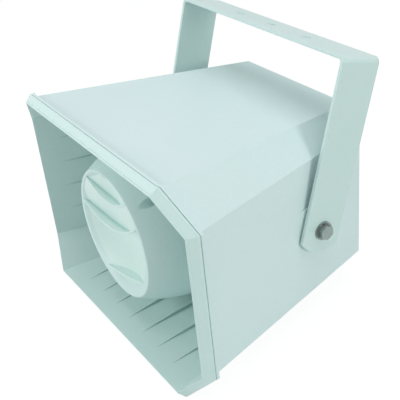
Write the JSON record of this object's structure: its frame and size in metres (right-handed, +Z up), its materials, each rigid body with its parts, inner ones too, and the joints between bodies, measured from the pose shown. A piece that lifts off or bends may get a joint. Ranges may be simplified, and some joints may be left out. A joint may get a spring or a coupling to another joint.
{
  "type": "horn speaker",
  "caption": "Weatherproof rectangular horn speaker: ribbed flared mouth, round vaned reflector bell, tapered sealed case and a tilting U bracket on side bolts.",
  "frame": {"origin": "middle of the underside of the whole speaker, below the middle of its width and depth", "axes": "The mouth looks along -Y and the cable gland along +Y. +Z is up, towards the bracket top. +X is the longest extent, across the mouth."},
  "size_m": [0.272, 0.233, 0.2349],
  "materials": {
    "case_plastic": "fine satin moulding, slightly weathered",
    "horn_plastic": "fine satin moulding",
    "bell_plastic": "fine satin moulding",
    "vane_plastic": "fine satin moulding",
    "tube_plastic": "satin moulding",
    "bracket_paint": "powder coat, satin",
    "zinc_steel": "zinc plated, dulled",
    "spring_steel": "zinc plated, dull",
    "plated_steel": "zinc plated",
    "core_steel": "varnished sheet stack",
    "coil_tape": "copper winding under yellow tape",
    "copper_wire": "enamelled copper wire",
    "ferrite": "ground ferrite",
    "phenolic": "resin soaked cloth",
    "cast_aluminium": "die cast, matt",
    "black_rubber": "matt",
    "black_plastic": "matt",
    "gland_plastic": "satin nylon",
    "brass": "turned"
  },
  "bodies": {
    "case": {"housing": "case_plastic", "horn": "horn_plastic", "rim_gasket": "black_rubber", "bell": "bell_plastic", "vane_plate": "vane_plastic", "bell_screws": "zinc_steel", "tone_tube": "tube_plastic", "driver_cap": "cast_aluminium", "diaphragm": "phenolic", "voice_coil": "copper_wire", "top_plate": "plated_steel", "magnet": "ferrite", "yoke": "plated_steel", "driver_screws": "zinc_steel", "transformer_core": "core_steel", "transformer_coil": "coil_tape", "transformer_screws": "zinc_steel", "terminal_block": "black_plastic", "terminal_screws": "zinc_steel", "case_screws": "zinc_steel", "gland_body": "gland_plastic", "gland_nut": "gland_plastic", "gland_cap": "gland_plastic", "gland_seal": "black_rubber", "side_bolts": "zinc_steel", "flat_washers": "zinc_steel", "spring_washers": "spring_steel", "friction_washers": "black_rubber", "inserts": "brass"},
    "bracket": {"bracket": "bracket_paint"}
  },
  "joints": [
    {"name": "bracket_tilt", "type": "hinge", "parent": "case", "child": "bracket", "pos_m": [0, 0.0305, 0.095], "axis": [-1, 0, 0], "range_deg": [-22, 168]}
  ]
}
